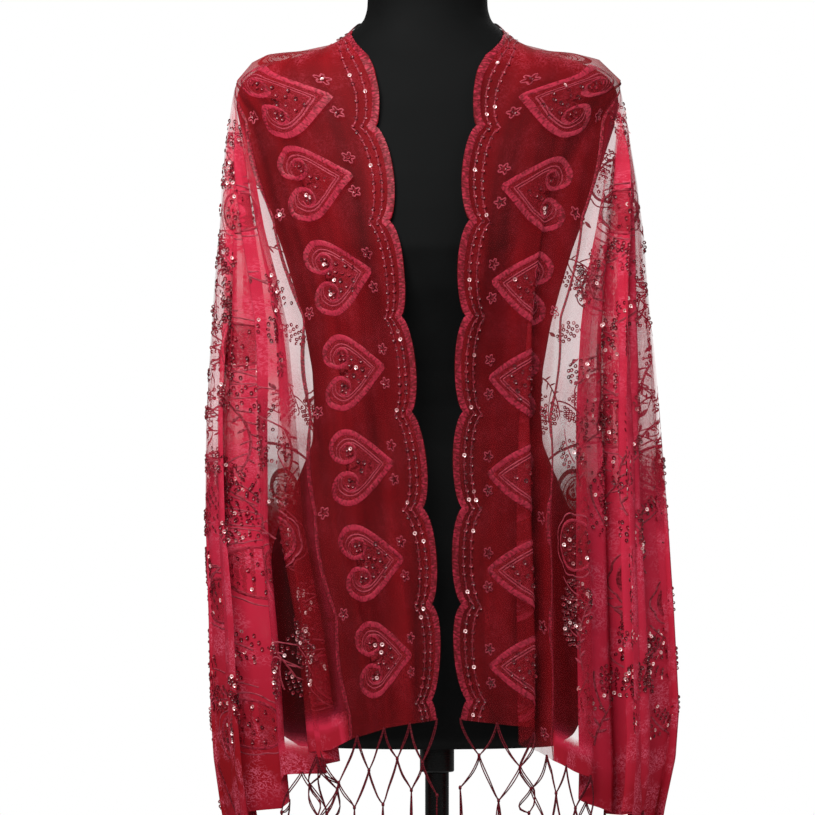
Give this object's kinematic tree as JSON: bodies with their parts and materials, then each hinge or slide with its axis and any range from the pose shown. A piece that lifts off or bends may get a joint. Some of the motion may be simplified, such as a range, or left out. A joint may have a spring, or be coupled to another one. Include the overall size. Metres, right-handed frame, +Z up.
{
  "type": "sequin shawl on a limbless dress form with stand",
  "caption": "Sheer red sequinned shawl with knotted fringe, draped over a black limbless dress form on a pole stand.",
  "frame": {"origin": "centre of the stand base's underside, projected onto the dress form's centre line: on the floor, under the middle of the form", "axes": "+Z up; the shawl's open front faces -Y; +X is to the right of someone who looks at the front"},
  "size_m": [0.5051, 0.3, 1.7083],
  "materials": {
    "tulle": "satin",
    "fringe": "satin",
    "form": "satin",
    "stand": "gloss"
  },
  "bodies": {
    "root": {"shawl_left": "tulle", "shawl_right": "tulle", "shawl_back": "tulle", "fringe_left": "fringe", "fringe_right": "fringe", "form_torso": "form", "form_neck_cap": "form", "form_collar": "stand", "stand_pole": "stand", "stand_base": "stand"}
  },
  "joints": []
}
